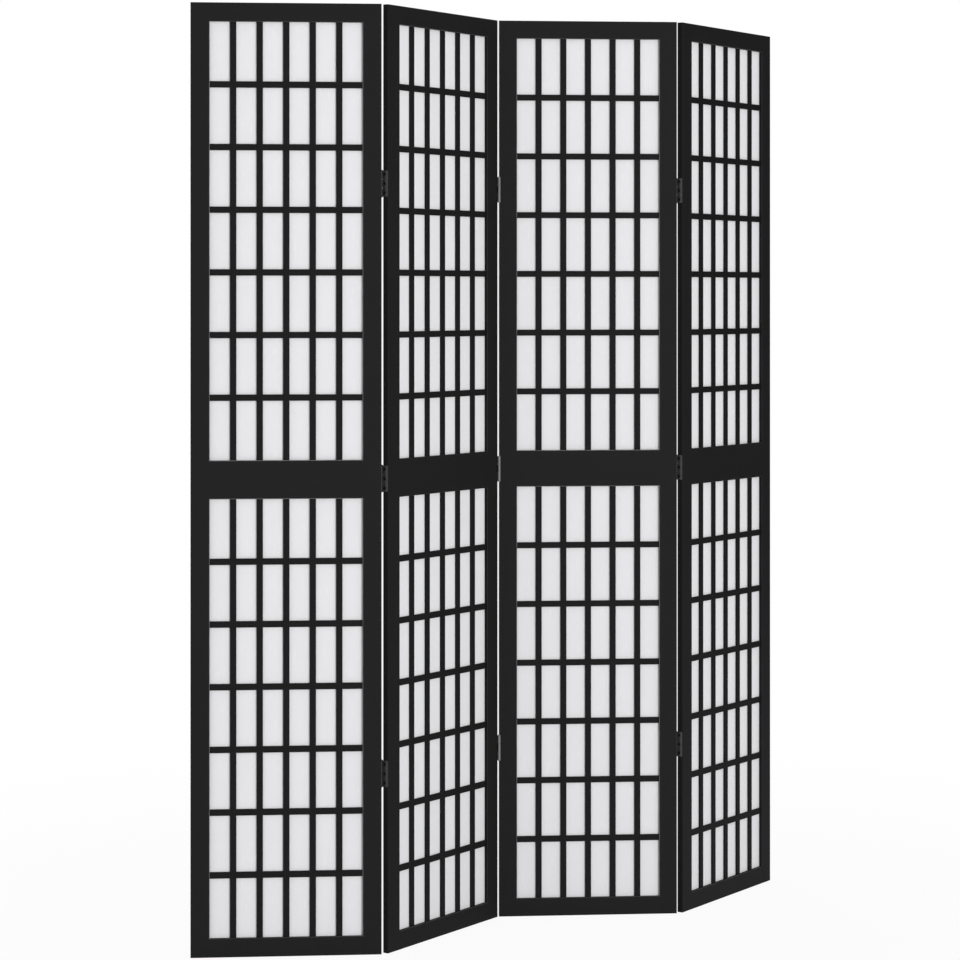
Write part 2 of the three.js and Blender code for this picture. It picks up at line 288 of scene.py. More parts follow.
def bevel_edges(piece, width, segments, wanted):
    """Bevels the edges that pass the test."""
    edit(piece, "EDGE")
    mesh = bmesh.from_edit_mesh(piece.data)
    for edge in mesh.edges:
        edge.select_set(wanted(edge))
    bmesh.update_edit_mesh(piece.data)
    bpy.ops.mesh.bevel(offset=width, segments=segments, affect="EDGES", clamp_overlap=True)
    bpy.ops.object.mode_set(mode="OBJECT")


def level_edge(edge, axis):
    """Whether both ends of an edge are at the same place along an axis."""
    ends = [vertex.co[axis] for vertex in edge.verts]
    return abs(ends[0] - ends[1]) < TINY


def edge_at(edge, axis, place):
    return all(abs(vertex.co[axis] - place) < TINY for vertex in edge.verts)


def runs_along(edge, axis):
    return all(level_edge(edge, other) for other in range(3) if other != axis)


def join(name, pieces):
    """Makes several pieces one object."""
    deselect()
    for piece in pieces:
        piece.select_set(True)
    bpy.context.view_layer.objects.active = pieces[0]
    if len(pieces) > 1:
        bpy.ops.object.join()
    whole = bpy.context.object
    whole.name = name
    return whole


def apply_modifier(piece, kind, **settings):
    activate(piece)
    modifier = piece.modifiers.new(kind.lower(), kind)
    for name, setting in settings.items():
        setattr(modifier, name, setting)
    bpy.ops.object.modifier_apply(modifier=modifier.name)


def combine(piece, tool, operation):
    """Cuts one piece by another, or unites them, and takes the other away."""
    apply_modifier(piece, "BOOLEAN", operation=operation, object=tool, solver="EXACT")
    bpy.data.objects.remove(tool)
    return piece


def smooth(piece, angle):
    """Shades the rounded edges smooth and keeps the flat faces flat."""
    activate(piece)
    bpy.ops.object.shade_smooth_by_angle(angle=math.radians(angle))
    apply_modifier(piece, "WEIGHTED_NORMAL", keep_sharp=True)


def copy_of(piece, name):
    twin = piece.copy()
    twin.data = piece.data.copy()
    twin.name = name
    bpy.context.scene.collection.objects.link(twin)
    return twin


def placed_copy(piece, name, place, number=0):
    """A copy of a model at its place in the screen. In wood, each panel has grain of its own."""
    twin = copy_of(piece, name)
    twin.data.transform(place)
    grain = twin.data.attributes.get("grain")
    if grain:
        for point in grain.data:
            point.vector = Vector(point.vector) + PANEL_GRAIN_STEP * number
    return twin


def stand_for(piece, slot, *nodes):
    """Makes a piece take the place of CAD nodes of one body."""
    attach(piece, frame["nodes"][nodes[0]]["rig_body"])
    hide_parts(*nodes)


# What the materials read from a mesh: the place along the grain or in the hinge, which places
# the hinge's painted light, and the arrises' painted highlight


def eased(vertex, along):
    """Whether a vertex is on an eased edge: besides end faces, it touches only slanted ones."""
    for face in vertex.link_faces:
        squarely = [abs(c) > SQUARE_NORMAL for c in face.normal]
        if any(squarely) and not squarely[along]:
            return False
    return True


def on_outline(vertex):
    """Whether a vertex is at the panel's outer edges."""
    across, up = vertex.co.x, vertex.co.z
    return min(across, PANEL_WIDTH - across, up, PANEL_HEIGHT - up) < 2 * ARRIS


def mark_wood(piece, along, start=0.0, painted_light=1.0):
    """Stores the grain's coordinates, with the grain on Z, and how strong a painted highlight
    each eased arris gets.
    """
    mesh = bmesh.new()
    mesh.from_mesh(piece.data)
    mesh.normal_update()
    arris_light = []
    for vertex in mesh.verts:
        share = OUTLINE_HIGHLIGHT if on_outline(vertex) else painted_light
        arris_light.append(share if eased(vertex, along) else 0.0)
    mesh.free()
    arris = piece.data.attributes.new("arris", "FLOAT", "POINT")
    arris.data.foreach_set("value", arris_light)
    grain = piece.data.attributes.new("grain", "FLOAT_VECTOR", "POINT")
    across = 2 - along  # the other axis in the panel's plane
    for vertex, point in zip(piece.data.vertices, grain.data):
        point.vector = (vertex.co[across] + start, vertex.co.y, vertex.co[along] + start)


def dim_highlight_every_second(piece, name, number):
    """Makes the painted arris highlight fainter on some members of every second panel."""
    if number % 2 == 0 and name in DIMMED_MEMBERS:
        for point in piece.data.attributes["arris"].data:
            point.value *= DIMMED_HIGHLIGHT


def mark_steel(piece):
    """Stores each point's place in the hinge's own frame."""
    place = piece.data.attributes.new("place", "FLOAT_VECTOR", "POINT")
    for vertex, point in zip(piece.data.vertices, place.data):
        point.vector = vertex.co


# Frame members: the CAD solids with their shoulders drawn tight and their arrises rounded


def shoulder_places(piece):
    """Where a rail's two shoulders are: the ends of its front face."""
    front = [v.co.x for v in piece.data.vertices if abs(v.co.y) < TINY]
    return min(front), max(front)


def tighten_shoulders(piece):
    """Moves a rail's shoulders out until they all but touch the stiles."""
    for shoulder, way in zip(shoulder_places(piece), (-1, 1)):
        edit(piece, "VERT")
        mesh = bmesh.from_edit_mesh(piece.data)
        for vertex in mesh.verts:
            vertex.select_set(abs(vertex.co.x - shoulder) < TINY)
        bmesh.update_edit_mesh(piece.data)
        bpy.ops.transform.translate(value=(way * (SHOULDER_GAP - SHOULDER_SEAM), 0, 0))
        bpy.ops.object.mode_set(mode="OBJECT")


def turns_by(edge, angle):
    """Whether the two faces at an edge turn by an angle, in degrees."""
    return abs(math.degrees(edge.calc_face_angle(0)) - angle) < ANGLE_SLACK


def is_chamfer_edge(edge):
    return turns_by(edge, 45) and any(edge_at(edge, 1, depth) for depth in CHAMFER_DEPTHS)


def is_rebate_edge(edge):
    """Whether an edge is one of the square ones in the panel's back face, off its joints."""
    on_joint = any(edge_at(edge, 0, x) for x in JOINT_PLANES)
    return turns_by(edge, 90) and edge_at(edge, 1, PANEL_DEPTH) and not on_joint


def frame_member(name, number=1):
    """A panel's frame member in the panel's own frame, with its arrises rounded."""
    piece = copy_of(frame["nodes"][f"panel_{number}_{name}"], f"model_{name}")
    piece.parent = None
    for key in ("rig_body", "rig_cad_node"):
        del piece[key]
    piece.data.transform(panel_place(number).inverted())
    edit(piece, "VERT")
    bpy.ops.mesh.select_all(action="SELECT")
    bpy.ops.mesh.remove_doubles(threshold=WELD)
    bpy.ops.mesh.dissolve_limited(angle_limit=math.radians(FLAT_ANGLE))
    bpy.ops.object.mode_set(mode="OBJECT")
    if name in RAILS:
        tighten_shoulders(piece)
    bevel_edges(piece, REBATE_ROUNDING, ROUNDING_SEGMENTS, is_rebate_edge)
    bevel_edges(piece, ARRIS_ROUNDING, ROUNDING_SEGMENTS, is_chamfer_edge)
    return piece


def rail(name):
    piece = frame_member(name)
    smooth(piece, WOOD_SMOOTH_ANGLE)
    start = MEMBER_GRAIN_STEP * RAILS.index(name)
    mark_wood(piece, along=0, start=start, painted_light=RAIL_HIGHLIGHT[name])
    return piece


def stile(plain, name, number):
    """A copy of a plain stile, with the gains for its fold's hinges, where it has a fold."""
    piece = copy_of(plain, f"model_{name}_{number}")
    fold = number if name == "right_stile" else number - 1
    if 0 < fold < PANEL_COUNT:
        combine(piece, gain_tool(fold, name == "right_stile"), "DIFFERENCE")
    smooth(piece, WOOD_SMOOTH_ANGLE)
    mark_wood(piece, along=2, start=MEMBER_GRAIN_STEP * len(RAILS) + STILES.index(name))
    return piece


def gain_tool(fold, panel_is_left):
    """What is cut from a stile to let its three leaves in: their outline with some room."""
    side = 1 if panel_is_left == pin_in_front(fold) else -1
    depth = side * (CLOSED_LEAF_GAP / 2 + LEAF_THICKNESS + LEAF_SEAT_GAP)
    reach = LEAF_REACH + GAIN_CLEARANCE
    half = HINGE_LENGTH / 2 + GAIN_CLEARANCE
    gain = add_box("gain", (min(depth, 0), -reach, -half), (max(depth, 0), 0, half))
    radius = LEAF_CORNER + GAIN_CLEARANCE
    bevel_edges(
        gain,
        radius,
        LEAF_CORNER_SEGMENTS,
        lambda edge: runs_along(edge, 0) and edge_at(edge, 1, -reach),
    )
    if pin_in_front(fold):
        gain.data.transform(Matrix.Rotation(math.pi, 4, "Z"))
    gains = []
    for level, height in HINGE_HEIGHTS.items():
        twin = copy_of(gain, f"gain_{level}")
        twin.data.transform(Matrix.Translation(pin_in_panel(fold, panel_is_left, height)))
        gains.append(twin)
    bpy.data.objects.remove(gain)
    return join("gains", gains)


# Kumiko lattice: half-lapped bars in a narrow border


def eased_bar(name, low, high, along, arris):
    """A straight bar with its long edges eased."""
    piece = add_box(name, low, high)
    bevel_edges(piece, arris, BAR_SEGMENTS, lambda edge: runs_along(edge, along))
    return piece


def halved_bar(name, low, high, along, laps, lap_depth):
    """A bar with a notch, half its depth, for each bar that it crosses."""
    piece = eased_bar(name, low, high, along, BAR_ARRIS)
    notches = []
    for lap_low, lap_high in laps:
        notch_low = Vector((low.x - BAR_WIDTH, lap_depth[0], low.z - BAR_WIDTH))
        notch_high = Vector((high.x + BAR_WIDTH, lap_depth[1], high.z + BAR_WIDTH))
        notch_low[along] = lap_low - LAP_CLEARANCE
        notch_high[along] = lap_high + LAP_CLEARANCE
        notches.append(add_box("notch", notch_low, notch_high))
    return combine(piece, join("notches", notches), "DIFFERENCE")


def lattice(level):
    """One opening's lattice, its bars modelled once each way and copied."""
    low, high = box_in_panel(f"{level}_lattice")
    inner_low = low + Vector((BORDER_WIDTH, 0, BORDER_WIDTH))
    inner_high = high - Vector((BORDER_WIDTH, 0, BORDER_WIDTH))
    middle_depth = (low.y + high.y) / 2
    first_upright = STILE_WIDTH + COLUMN_PITCH - BAR_WIDTH
    row_pitch = opening_height(level) / ROWS
    first_level = (low.z + high.z) / 2 - (ROWS - 2) / 2 * row_pitch - BAR_WIDTH / 2
    uprights = [first_upright + i * COLUMN_PITCH for i in range(COLUMNS - 1)]
    levels = [first_level + i * row_pitch for i in range(ROWS - 1)]

    upright = halved_bar(
        "upright_bar",
        Vector((uprights[0], low.y, inner_low.z)),
        Vector((uprights[0] + BAR_WIDTH, high.y, inner_high.z)),
        2,
        [(z, z + BAR_WIDTH) for z in levels],
        (middle_depth - LAP_CLEARANCE, high.y + BAR_WIDTH),
    )
    level_bar = halved_bar(
        "level_bar",
        Vector((inner_low.x, low.y, levels[0])),
        Vector((inner_high.x, high.y, levels[0] + BAR_WIDTH)),
        0,
        [(x, x + BAR_WIDTH) for x in uprights],
        (low.y - BAR_WIDTH, middle_depth + LAP_CLEARANCE),
    )
    bars = spaced_copies(upright, 0, COLUMN_PITCH, COLUMNS - 1, 2)
    bars += spaced_copies(level_bar, 2, row_pitch, ROWS - 1, 0)
    whole = join(f"model_{level}_lattice", bars + border(low, high, inner_low, inner_high))
    smooth(whole, WOOD_SMOOTH_ANGLE)
    return whole


def opening_height(level):
    """The height of an opening: the clear space between the rails on either side of it."""
    rails = {"upper": ("middle_rail", "top_rail"), "lower": ("bottom_rail", "middle_rail")}
    below, above = rails[level]
    return rail_box(above)[0] - rail_box(below)[1]


def rail_box(name):
    """A rail's lowest and highest point."""
    low, high = box_in_panel(name)
    return low.z, high.z


def spaced_copies(bar, axis, pitch, count, along):
    """Copies of a bar that runs along one axis, a pitch apart on the other."""
    bars = []
    for index in range(count):
        twin = copy_of(bar, f"{bar.name}_{index}")
        step = Vector((0, 0, 0))
        step[axis] = index * pitch
        twin.data.transform(Matrix.Translation(step))
        start = BAR_GRAIN_START + index * BAR_GRAIN_STEP + along
        mark_wood(twin, along, start=start, painted_light=BAR_HIGHLIGHT)
        bars.append(twin)
    bpy.data.objects.remove(bar)
    return bars


def border(low, high, inner_low, inner_high):
    """The four strips that hold the ends of the bars, hidden behind the frame's lip."""
    sides = {
        "left_strip": ((low.x, low.z), (inner_low.x, high.z), 2),
        "right_strip": ((inner_high.x, low.z), (high.x, high.z), 2),
        "bottom_strip": ((inner_low.x, low.z), (inner_high.x, inner_low.z), 0),
        "top_strip": ((inner_low.x, inner_high.z), (inner_high.x, high.z), 0),
    }
    strips = []
    for name, (corner, other, along) in sides.items():
        strip_low = Vector((corner[0], low.y, corner[1]))
        strip_high = Vector((other[0], high.y, other[1]))
        strip = eased_bar(name, strip_low, strip_high, along, BORDER_ARRIS)
        mark_wood(strip, along, start=STRIP_GRAIN_START, painted_light=BAR_HIGHLIGHT)
        strips.append(strip)
    return strips


# Shoji paper: one stretched sheet on the back of each lattice


def slack(across, up):
    """How far the paper stands off, from 0 on the bars to 1 in the middle of an opening."""
    return (math.sin(across * math.pi) * math.sin(up * math.pi)) ** 2


def paper(level):
    low, high = box_in_panel(f"{level}_pane")
    front = box_in_panel(f"{level}_lattice")[1].y + PAPER_GAP
    deselect()
    bpy.ops.mesh.primitive_grid_add(
        x_subdivisions=PAPER_CELLS[0],
        y_subdivisions=PAPER_CELLS[1],
        size=1,
        location=((low.x + high.x) / 2, front, (low.z + high.z) / 2),
        rotation=(math.pi / 2, 0, 0),
    )
    bpy.context.object.dimensions = (high.x - low.x, high.z - low.z, 0)
    piece = settle(f"model_{level}_paper")
    opening_low = (high.z + low.z - opening_height(level)) / 2
    row_pitch = opening_height(level) / ROWS
    for vertex in piece.data.vertices:
        across = (vertex.co.x - STILE_WIDTH + BAR_WIDTH / 2) / COLUMN_PITCH
        up = (vertex.co.z - opening_low) / row_pitch
        vertex.co.y += PAPER_SLACK * slack(across, up)
    apply_modifier(piece, "SOLIDIFY", thickness=PAPER_THICKNESS, offset=-1)
    bpy.ops.object.shade_smooth_by_angle(angle=math.radians(PAPER_SMOOTH_ANGLE))
    return piece


# Hinges. side is -1 for the leaf at the left of the pin and 1 for the one at its right.


def knuckle_span(index):
    length = (HINGE_LENGTH - (KNUCKLE_COUNT - 1) * KNUCKLE_GAP) / KNUCKLE_COUNT
    low = -HINGE_LENGTH / 2 + index * (length + KNUCKLE_GAP)
    return low, low + length


def leaf_faces(side):
    """Where a leaf's face towards the other leaf is, and its face on the wood."""
    inner = side * CLOSED_LEAF_GAP / 2
    return inner, inner + side * LEAF_THICKNESS


def leaf_plate(side):
    inner, outer = leaf_faces(side)
    half = HINGE_LENGTH / 2
    low, high = sorted((inner, outer))
    plate = add_box("plate", (low, -LEAF_REACH, -half), (high, 0, half))
    bevel_edges(
        plate,
        LEAF_CORNER,
        LEAF_CORNER_SEGMENTS,
        lambda edge: runs_along(edge, 0) and edge_at(edge, 1, -LEAF_REACH),
    )
    bevel_edges(
        plate,
        LEAF_ARRIS,
        ROUNDING_SEGMENTS,
        lambda edge: level_edge(edge, 0) and not edge_at(edge, 1, 0),
    )
    return plate


def knuckle(low, high):
    piece = add_rod("knuckle", BARREL_RADIUS, low, high)
    bevel_edges(piece, KNUCKLE_ARRIS, KNUCKLE_SEGMENTS, lambda edge: level_edge(edge, 2))
    return piece


def countersink(side, z):
    """The tool that cuts a screw's hole, wider at the leaf's inner face."""
    inner, outer = leaf_faces(side)
    overrun = LEAF_THICKNESS / 4
    flare = (SCREW_HEAD_RADIUS + SCREW_HEAD_CLEARANCE - SCREW_HOLE_RADIUS) / LEAF_THICKNESS
    wide = SCREW_HEAD_RADIUS + SCREW_HEAD_CLEARANCE + flare * overrun
    narrow = SCREW_HOLE_RADIUS - flare * overrun
    ends = (inner - side * overrun, outer + side * overrun)
    return add_cone("countersink", ends, (wide, narrow), z)


def hinge_leaf(name, side, own, other):
    """A leaf with its own knuckles, and with room for those of the other leaf."""
    leaf = leaf_plate(side)
    room = BARREL_RADIUS + BARREL_CLEARANCE
    for index in other:
        low, high = knuckle_span(index)
        notch = add_rod("notch", room, low - KNUCKLE_GAP, high + KNUCKLE_GAP)
        combine(leaf, notch, "DIFFERENCE")
    for index in own:
        combine(leaf, knuckle(*knuckle_span(index)), "UNION")
    bore = add_rod("bore", PIN_RADIUS + PIN_CLEARANCE, -HINGE_LENGTH, HINGE_LENGTH)
    combine(leaf, bore, "DIFFERENCE")
    holes = join("holes", [countersink(side, z) for z in SCREW_HEIGHTS])
    combine(leaf, holes, "DIFFERENCE")
    leaf.name = name
    smooth(leaf, STEEL_SMOOTH_ANGLE)
    return leaf


def hinge_pin():
    """The pin with a rounded tip on each end."""
    half = HINGE_LENGTH / 2
    pin = add_rod("pin", PIN_RADIUS, -half, half, PIN_SIDES)
    ends = ((half, half + PIN_TIP_HEIGHT), (-half - PIN_TIP_HEIGHT, -half))
    for low, high in ends:
        tip = add_rod("tip", PIN_TIP_RADIUS, low, high, PIN_SIDES)
        outer = high if high > half else low
        bevel_edges(
            tip,
            PIN_TIP_ROUNDING,
            PIN_TIP_SEGMENTS,
            lambda edge, at=outer: edge_at(edge, 2, at),
        )
        combine(pin, tip, "UNION")
    smooth(pin, STEEL_SMOOTH_ANGLE)
    return pin


def screw(side):
    """One countersunk screw with a cross recess, at the height of the hinge's middle."""
    inner, outer = leaf_faces(side)
    top = inner + side * SCREW_HEAD_SINK
    tip = top + side * SCREW_LENGTH
    head = add_cone("screw", (top, outer), (SCREW_HEAD_RADIUS, SCREW_SHANK_RADIUS), 0)
    neck = outer - side * LEAF_ARRIS  # the shank starts inside the head, to be united with it
    shank = add_cone("shank", (neck, tip), (SCREW_SHANK_RADIUS, SCREW_TIP_RADIUS), 0)
    combine(head, shank, "UNION")
    low, high = sorted((top - side * RECESS_DEPTH, top + side * RECESS_DEPTH))
    for across, along in ((RECESS_WIDTH / 2, RECESS_REACH), (RECESS_REACH, RECESS_WIDTH / 2)):
        slot_low = (low, SCREW_LINE - across, -along)
        slot_high = (high, SCREW_LINE + across, along)
        combine(head, add_box("slot", slot_low, slot_high), "DIFFERENCE")
    smooth(head, STEEL_SMOOTH_ANGLE)
    return head


def screws(name, side):
    """The three screws of one leaf, each turned to another angle."""
    first = screw(side)
    to_axis = Matrix.Translation((0, -SCREW_LINE, 0))
    pieces = []
    for index, z in enumerate(SCREW_HEIGHTS):
        twin = copy_of(first, f"{name}_{index}")
        angle = math.radians(FIRST_SCREW_TURN + SCREW_TURN_STEP * index)
        turn = Matrix.Rotation(angle, 4, "X")
        twin.data.transform(Matrix.Translation((0, SCREW_LINE, z)) @ turn @ to_axis)
        pieces.append(twin)
    bpy.data.objects.remove(first)
    return join(name, pieces)


# Shader maths

MIX_INPUTS = (0, 6, 7)  # of a Mix node for colours: the factor and the two colours
MIX_OUTPUT = 2


class Value:
    """A shader socket. Arithmetic on it adds Math nodes to its recipe."""

    def __init__(self, recipe, socket):
        self.recipe = recipe
        self.socket = socket

    def __add__(self, other):
        return self.recipe.maths("ADD", self, other)

    def __radd__(self, other):
        return self.recipe.maths("ADD", other, self)

    def __sub__(self, other):
        return self.recipe.maths("SUBTRACT", self, other)

    def __rsub__(self, other):
        return self.recipe.maths("SUBTRACT", other, self)

    def __mul__(self, other):
        return self.recipe.maths("MULTIPLY", self, other)

    def __rmul__(self, other):
        return self.recipe.maths("MULTIPLY", other, self)


class Recipe:
    """The nodes of one material or of the studio's surroundings."""

    def __init__(self, owner, output_type):
        owner.use_nodes = True
        self.owner = owner
        self.tree = owner.node_tree
        self.tree.nodes.clear()
        self.output = self.tree.nodes.new(output_type)

    def node(self, node_type, settings=None, sockets=None, give=0):
        """Adds a node: its type, its settings, and the values or links of its sockets.

        give is the output that its Value stands for.
        """
        node = self.tree.nodes.new(node_type)
        for name, setting in (settings or {}).items():
            setattr(node, name, setting)
        for name, value in (sockets or {}).items():
            self.feed(node.inputs[name], value)
        return Value(self, node.outputs[give])

    def feed(self, socket, value):
        if isinstance(value, Value):
            self.tree.links.new(value.socket, socket)
        else:
            socket.default_value = value

    def maths(self, operation, first, second):
        return self.node("ShaderNodeMath", {"operation": operation}, {0: first, 1: second})

    def finish(self, shader):
        self.tree.links.new(shader.socket, self.output.inputs["Surface"])
        return self.owner

    def attribute(self, name, give):
        return self.node("ShaderNodeAttribute", {"attribute_name": name}, give=give)

    def object_place(self):
        return self.node("ShaderNodeTexCoord", give="Object")

    def stretched(self, vector, rate):
        """Draws a pattern out along Z. rate is how fast it changes there, beside across."""
        return self.node("ShaderNodeMapping", sockets={"Vector": vector, "Scale": (1, 1, rate)})

    def noise(self, vector, scale, detail, roughness=0.5):
        sockets = {"Vector": vector, "Scale": scale, "Detail": detail, "Roughness": roughness}
        return self.node("ShaderNodeTexNoise", sockets=sockets)

    def ramp(self, value, low, high):
        """Takes a value from 0 at low to 1 at high, smoothly."""
        sockets = {"Value": value, "From Min": low, "From Max": high}
        return self.node("ShaderNodeMapRange", {"interpolation_type": "SMOOTHSTEP"}, sockets)

    def tint(self, share, first, second):
        """Mixes two colours."""
        sockets = dict(zip(MIX_INPUTS, (share, first, second)))
        return self.node("ShaderNodeMix", {"data_type": "RGBA"}, sockets, give=MIX_OUTPUT)

    def bump(self, height, distance, strength, normal=None):
        sockets = {"Height": height, "Distance": distance, "Strength": strength}
        if normal:
            sockets["Normal"] = normal
        return self.node("ShaderNodeBump", sockets=sockets)

    def principled(self, **sockets):
        sockets = {name.replace("_", " "): value for name, value in sockets.items()}
        return self.node("ShaderNodeBsdfPrincipled", sockets=sockets)


def material(name):
    return Recipe(bpy.data.materials.new(name), "ShaderNodeOutputMaterial")


# Finishes

PAINT_TONES = (0.0100, 0.0154)
LATTICE_TONE = 0.78  # the lattice's tones beside the frame's
# the colour of the painted highlight on the arrises
ARRIS_HIGHLIGHT_TONE = 0.20
PAINT_GLOSS = 0.06
PAPER_COLOURS = ((0.790, 0.788, 0.804, 1), (0.850, 0.848, 0.865, 1))
STRAND_COLOUR = (0.90, 0.90, 0.91, 1)
# the hinge steel in painted shade, and the colours it takes where painted light falls
SHADED_STEEL_TONE = 0.013
LIT_STEEL_COLOURS = ((0.16, 0.16, 0.155, 1), (0.25, 0.25, 0.245, 1))
SPECK_COLOUR = (0.03, 0.03, 0.028, 1)
SCREW_COLOURS = ((0.004, 0.004, 0.004, 1), (0.026, 0.025, 0.023, 1))

# Where on the hinge's Y each part's painted light sets in and becomes full, and how strong that
# is
BARREL_LIT = (-0.0010, 0.0006)
INNER_LEAF_LIT = (-0.0026, -0.0034)
OUTER_LEAF_LIT = (-0.0085, -0.0100)
INNER_LEAF_LIGHT = 0.22  # where the barrel has 1
OUTER_LEAF_LIGHT = 0.30


def grey(level):
    return (level, level, level, 1)


def black_paint(name, tone):
    """Satin black paint brushed on wood, with a painted highlight on the arrises. tone scales
    its tones.
    """
    recipe = material(name)
    grain = recipe.attribute("grain", give="Vector")
    arris = recipe.attribute("arris", give="Fac")
    fibres = recipe.noise(recipe.stretched(grain, 0.02), scale=900, detail=4, roughness=0.6)
    strokes = recipe.noise(recipe.stretched(grain, 0.012), scale=260, detail=2)
    clouds = recipe.noise(grain, scale=14, detail=3)
    peel = recipe.noise(grain, scale=1500, detail=1)
    patches = recipe.ramp(recipe.noise(grain, scale=60, detail=3), 0.30, 0.62)
    # painted highlight on the eased arrises, patchy
    arris_highlight = arris * (0.6 + 0.4 * patches)
    shade = 0.35 * clouds + 0.4 * strokes + 0.25 * fibres
    body = recipe.tint(shade, grey(PAINT_TONES[0] * tone), grey(PAINT_TONES[1] * tone))
    color = recipe.tint(arris_highlight, body, grey(ARRIS_HIGHLIGHT_TONE))
    rough = 0.50 + 0.16 * strokes + 0.08 * clouds - 0.12 * arris_highlight
    normal = recipe.bump(fibres, distance=0.00003, strength=0.5)
    normal = recipe.bump(peel, distance=0.00001, strength=0.4, normal=normal)
    shader = recipe.principled(
        Base_Color=color, Roughness=rough, Normal=normal, Specular_IOR_Level=PAINT_GLOSS
    )
    return recipe.finish(shader)


def shoji_paper():
    """White paper with long fibres and a faint laid pattern."""
    recipe = material("shoji_paper")
    place = recipe.object_place()
    clouds = recipe.noise(place, scale=22, detail=3)
    pulp = recipe.noise(place, scale=420, detail=3, roughness=0.7)
    laid = recipe.noise(recipe.stretched(place, 0.01), scale=330, detail=2)
    threads = recipe.noise(recipe.stretched(place, 0.16), scale=260, detail=1)
    strands = recipe.ramp(threads, 0.62, 0.75)
    shade = 0.4 * clouds + 0.3 * laid + 0.3 * pulp
    body = recipe.tint(shade, *PAPER_COLOURS)
    color = recipe.tint(strands * 0.35, body, STRAND_COLOUR)
    rough = 0.80 + 0.12 * pulp
    normal = recipe.bump(pulp + 0.6 * strands, distance=0.00005, strength=0.5)
    shader = recipe.principled(
        Base_Color=color, Roughness=rough, Normal=normal, Specular_IOR_Level=0.1
    )
    return recipe.finish(shader)


def hinge_steel():
    """Steel in painted shade, dark, with painted light on the outside of the barrel and towards
    the leaf's edge.
    """
    recipe = material("hinge_steel")
    place = recipe.attribute("place", give="Vector")
    depth = recipe.node("ShaderNodeSeparateXYZ", sockets={"Vector": place}, give="Y")
    barrel = recipe.ramp(depth, *BARREL_LIT)
    inner_leaf = recipe.ramp(depth, *INNER_LEAF_LIT)
    outer_leaf = recipe.ramp(depth, *OUTER_LEAF_LIT)
    brushed = recipe.noise(recipe.stretched(place, 0.05), scale=4200, detail=3, roughness=0.6)
    clouds = recipe.noise(place, scale=160, detail=3)
    specks = recipe.ramp(recipe.noise(place, scale=1400, detail=2), 0.58, 0.70)
    shade = 0.55 * clouds + 0.45 * brushed
    lit_steel = recipe.tint(shade, *LIT_STEEL_COLOURS)
    # painted light on the barrel's outside and towards the leaf's edge; elsewhere the steel
    # keeps its painted shade
    painted_light = barrel + INNER_LEAF_LIGHT * inner_leaf + OUTER_LEAF_LIGHT * outer_leaf
    body = recipe.tint(painted_light * (0.8 + 0.4 * clouds), grey(SHADED_STEEL_TONE), lit_steel)
    color = recipe.tint(specks * 0.5, body, SPECK_COLOUR)
    rough = 0.52 + 0.16 * clouds + 0.08 * specks
    normal = recipe.bump(brushed, distance=0.00001, strength=0.6)
    shader = recipe.principled(
        Base_Color=color, Roughness=rough, Normal=normal, Metallic=0.5, Specular_IOR_Level=0.25
    )
    return recipe.finish(shader)


def screw_steel():
    """Blackened steel, a little brighter where it is scuffed."""
    recipe = material("screw_steel")
    clouds = recipe.noise(recipe.object_place(), scale=900, detail=3)
    color = recipe.tint(clouds, *SCREW_COLOURS)
    rough = 0.40 + 0.2 * clouds
    normal = recipe.bump(clouds, distance=0.00001, strength=0.5)
    shader = recipe.principled(
        Base_Color=color, Roughness=rough, Normal=normal, Metallic=0.7, Specular_IOR_Level=0.15
    )
    return recipe.finish(shader)


# The screen


def paint(piece, finish):
    piece.data.materials.clear()
    piece.data.materials.append(finish)


def stand_wood(model, name, number):
    """Stands a copy of a painted wooden model in one of the panels."""
    node = f"panel_{number}_{name}"
    piece = placed_copy(model, f"{node}_wood", panel_place(number), number)
    dim_highlight_every_second(piece, name, number)
    stand_for(piece, "black_paint", node)


def build_panels():
    frame_paint = black_paint("frame_paint", 1.0)
    lattice_paint = black_paint("lattice_paint", LATTICE_TONE)
    sheet_finish = shoji_paper()
    plain_stiles = {name: frame_member(name, n) for name, n in zip(STILES, (1, PANEL_COUNT))}
    members = {name: rail(name) for name in RAILS}
    for level in LEVELS:
        members[f"{level}_lattice"] = lattice(level)
    papers = {f"{level}_pane": paper(level) for level in LEVELS}
    for name, piece in [*plain_stiles.items(), *members.items()]:
        paint(piece, lattice_paint if name.endswith("lattice") else frame_paint)
    for piece in papers.values():
        paint(piece, sheet_finish)
    for number in range(1, PANEL_COUNT + 1):
        for name, plain in plain_stiles.items():
            model = stile(plain, name, number)
            stand_wood(model, name, number)
            bpy.data.objects.remove(model)
        for name, model in members.items():
            stand_wood(model, name, number)
        for name, model in papers.items():
            node = f"panel_{number}_{name}"
            piece = placed_copy(model, f"{node}_paper", panel_place(number))
            stand_for(piece, "shoji_paper", node)
            low, high = box_in_panel(name)
    for model in [*plain_stiles.values(), *members.values(), *papers.values()]:
        bpy.data.objects.remove(model)


